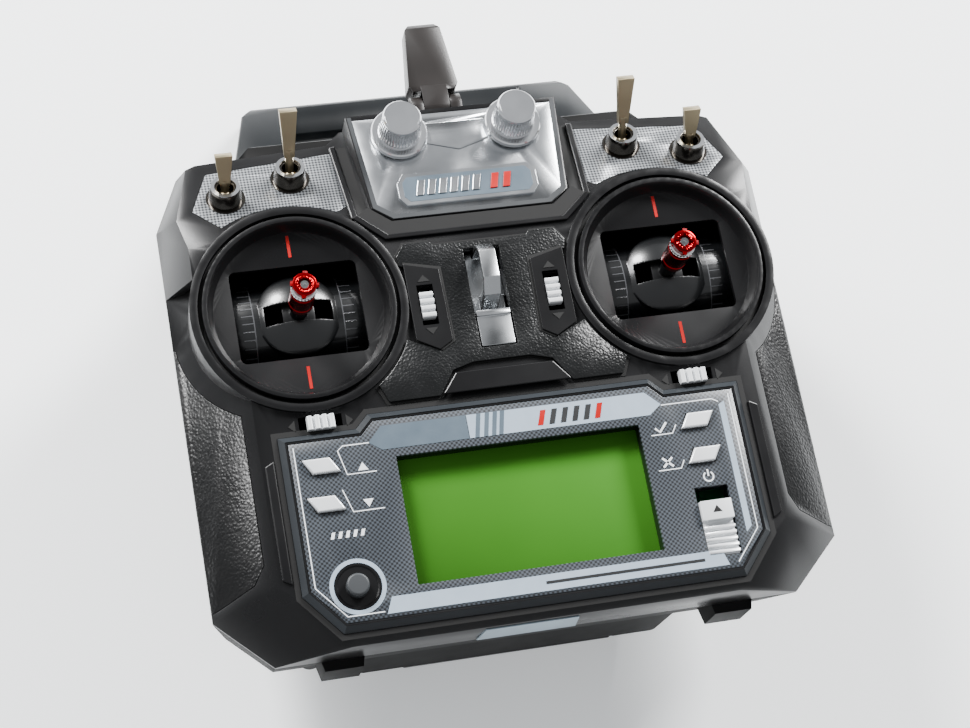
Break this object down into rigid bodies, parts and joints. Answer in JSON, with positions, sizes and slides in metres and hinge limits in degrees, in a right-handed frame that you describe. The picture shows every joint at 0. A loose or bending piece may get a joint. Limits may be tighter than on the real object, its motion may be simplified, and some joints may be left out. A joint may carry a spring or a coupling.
{
  "type": "radio transmitter controller",
  "caption": "Hand-held radio-control transmitter: box-shaped case with twin stick units, toggle switches, dials, trims, lit display, folding antenna and a carrying handle.",
  "frame": {"origin": "centre of the bounding box's base, where the set lies on its handle and feet", "axes": "+Z out of the control face, +Y up the face towards the antenna, +X to the user's right"},
  "size_m": [0.174, 0.19, 0.089],
  "materials": {
    "case": "moulded ABS, fine satin texture",
    "grip": "pebbled soft-touch",
    "grain": "coarse moulded grain",
    "panel": "printed overlay with a woven pattern",
    "lcd": "green lit display glass",
    "module": "plain",
    "chrome": "bright vacuum-metallised plate",
    "badge": "satin",
    "weave": "silver printed weave",
    "steel": "bent and polished",
    "sticker": "satin",
    "rubber": "matt",
    "screw": "blackened",
    "handle": "satin",
    "drum": "polished",
    "red": "red anodised",
    "sensor": "plain",
    "spring": "spring wire",
    "nut": "dark nickel",
    "lever": "warm nickel",
    "silver": "silver painted",
    "knob": "bright",
    "key": "satin",
    "antenna": "satin",
    "board": "solder mask",
    "cell": "printed sleeve",
    "contact": "nickel-plated strip",
    "base": "satin"
  },
  "bodies": {
    "case": {"front_shell": "case", "rear_shell": "case", "carry_handle": "handle", "left_grip": "grip", "right_grip": "grip", "centre_plate": "grain", "display_panel": "panel", "lcd_glass": "lcd", "lcd_module": "module", "pod_plate": "chrome", "badge_plate": "badge", "left_switch_plate": "weave", "right_switch_plate": "weave", "strap_hook": "steel", "nameplate": "sticker", "rubber_feet": "rubber", "case_screws": "screw", "left_stick_housing": "case", "right_stick_housing": "case", "angle_sensors": "sensor", "centring_springs": "spring", "toggle_bodies": "sensor", "toggle_nuts": "nut", "tact_switches": "key", "power_switch": "key", "antenna_base": "base", "main_board": "board", "radio_module": "board", "battery_tray": "key", "battery_cells": "cell", "battery_contacts": "contact", "trainer_socket": "key"},
    "left_drum": {"left_stick_drum": "drum"},
    "right_drum": {"right_stick_drum": "drum"},
    "left_stick": {"left_stick_slider": "drum", "left_stick_sleeve": "red", "left_stick_crown": "red"},
    "right_stick": {"right_stick_slider": "drum", "right_stick_sleeve": "red", "right_stick_crown": "red"},
    "antenna_swivel": {"antenna_knuckle": "antenna", "antenna_pin": "spring"},
    "antenna_blade": {"antenna_paddle": "antenna"},
    "door": {"battery_door": "case"},
    "outer_left_lever": {"outer_left_toggle": "lever"},
    "inner_left_lever": {"inner_left_toggle": "lever"},
    "inner_right_lever": {"inner_right_toggle": "lever"},
    "outer_right_lever": {"outer_right_toggle": "lever"},
    "left_dial_knob": {"left_dial": "knob"},
    "right_dial_knob": {"right_dial": "knob"},
    "left_pitch_trim_rocker": {"left_pitch_trim": "silver"},
    "right_pitch_trim_rocker": {"right_pitch_trim": "silver"},
    "left_roll_trim_rocker": {"left_roll_trim": "silver"},
    "right_roll_trim_rocker": {"right_roll_trim": "silver"},
    "up_key_cap": {"up_key": "silver"},
    "down_key_cap": {"down_key": "silver"},
    "ok_key_cap": {"ok_key": "silver"},
    "cancel_key_cap": {"cancel_key": "silver"},
    "bind_key_cap": {"bind_key": "key"},
    "power_knob": {"power_slider": "silver"}
  },
  "joints": [
    {"name": "left_stick_pitch", "type": "hinge", "parent": "case", "child": "left_drum", "pos_m": [-0.0526, 0.0015, 0.0517], "axis": [1, 0, 0], "range_deg": [-25, 25]},
    {"name": "left_stick_roll", "type": "hinge", "parent": "left_drum", "child": "left_stick", "pos_m": [-0.0526, 0.0015, 0.0517], "axis": [0, 1, 0], "range_deg": [-22, 22], "stiffness_Nm_per_rad": 0.03},
    {"name": "right_stick_pitch", "type": "hinge", "parent": "case", "child": "right_drum", "pos_m": [0.0526, 0.0015, 0.0517], "axis": [1, 0, 0], "range_deg": [-25, 25], "stiffness_Nm_per_rad": 0.03},
    {"name": "right_stick_roll", "type": "hinge", "parent": "right_drum", "child": "right_stick", "pos_m": [0.0526, 0.0015, 0.0517], "axis": [0, 1, 0], "range_deg": [-22, 22], "stiffness_Nm_per_rad": 0.03},
    {"name": "outer_left_flip", "type": "hinge", "parent": "case", "child": "outer_left_lever", "pos_m": [-0.0673, 0.03861, 0.0656], "axis": [1, 0, 0], "range_deg": [0, 30]},
    {"name": "inner_left_flip", "type": "hinge", "parent": "case", "child": "inner_left_lever", "pos_m": [-0.0484, 0.04331, 0.06388], "axis": [1, 0, 0], "range_deg": [0, 30]},
    {"name": "inner_right_flip", "type": "hinge", "parent": "case", "child": "inner_right_lever", "pos_m": [0.0484, 0.04331, 0.06388], "axis": [1, 0, 0], "range_deg": [0, 30]},
    {"name": "outer_right_flip", "type": "hinge", "parent": "case", "child": "outer_right_lever", "pos_m": [0.0673, 0.03861, 0.0656], "axis": [1, 0, 0], "range_deg": [0, 30]},
    {"name": "left_dial_turn", "type": "hinge", "parent": "case", "child": "left_dial_knob", "pos_m": [-0.0165, 0.0508, 0.06794], "axis": [0, 0.1045, 0.9945], "range_deg": [-140, 140]},
    {"name": "right_dial_turn", "type": "hinge", "parent": "case", "child": "right_dial_knob", "pos_m": [0.0165, 0.0508, 0.06794], "axis": [0, 0.1045, 0.9945], "range_deg": [-140, 140]},
    {"name": "left_pitch_trim_rock", "type": "hinge", "parent": "case", "child": "left_pitch_trim_rocker", "pos_m": [-0.0178, -0.0021, 0.0638], "axis": [1, 0, 0], "range_deg": [-9, 9], "stiffness_Nm_per_rad": 0.02},
    {"name": "right_pitch_trim_rock", "type": "hinge", "parent": "case", "child": "right_pitch_trim_rocker", "pos_m": [0.0178, -0.0021, 0.0638], "axis": [1, 0, 0], "range_deg": [-9, 9], "stiffness_Nm_per_rad": 0.02},
    {"name": "left_roll_trim_rock", "type": "hinge", "parent": "case", "child": "left_roll_trim_rocker", "pos_m": [-0.052, -0.0316, 0.0638], "axis": [0, 1, 0], "range_deg": [-9, 9], "stiffness_Nm_per_rad": 0.02},
    {"name": "right_roll_trim_rock", "type": "hinge", "parent": "case", "child": "right_roll_trim_rocker", "pos_m": [0.052, -0.0316, 0.0638], "axis": [0, 1, 0], "range_deg": [-9, 9], "stiffness_Nm_per_rad": 0.02},
    {"name": "up_key_press", "type": "slide", "parent": "case", "child": "up_key_cap", "axis": [0, 0, -1], "range_m": [0, 0.0008], "stiffness_N_per_m": 300},
    {"name": "down_key_press", "type": "slide", "parent": "case", "child": "down_key_cap", "axis": [0, 0, -1], "range_m": [0, 0.0008], "stiffness_N_per_m": 300},
    {"name": "ok_key_press", "type": "slide", "parent": "case", "child": "ok_key_cap", "axis": [0, 0, -1], "range_m": [0, 0.0008], "stiffness_N_per_m": 300},
    {"name": "cancel_key_press", "type": "slide", "parent": "case", "child": "cancel_key_cap", "axis": [0, 0, -1], "range_m": [0, 0.0008], "stiffness_N_per_m": 300},
    {"name": "bind_key_press", "type": "slide", "parent": "case", "child": "bind_key_cap", "axis": [0, 0, -1], "range_m": [0, 0.0008], "stiffness_N_per_m": 300},
    {"name": "power_slide", "type": "slide", "parent": "case", "child": "power_knob", "axis": [0, 1, 0], "range_m": [0, 0.0038]},
    {"name": "battery_door_slide", "type": "slide", "parent": "case", "child": "door", "axis": [0, -1, 0], "range_m": [0, 0.058]},
    {"name": "antenna_turn", "type": "hinge", "parent": "case", "child": "antenna_swivel", "pos_m": [0, 0.0595, 0.0465], "axis": [0, 1, 0], "range_deg": [-90, 90]},
    {"name": "antenna_fold", "type": "hinge", "parent": "antenna_swivel", "child": "antenna_blade", "pos_m": [0, 0.0677, 0.0465], "axis": [1, 0, 0], "range_deg": [0, 90]}
  ]
}
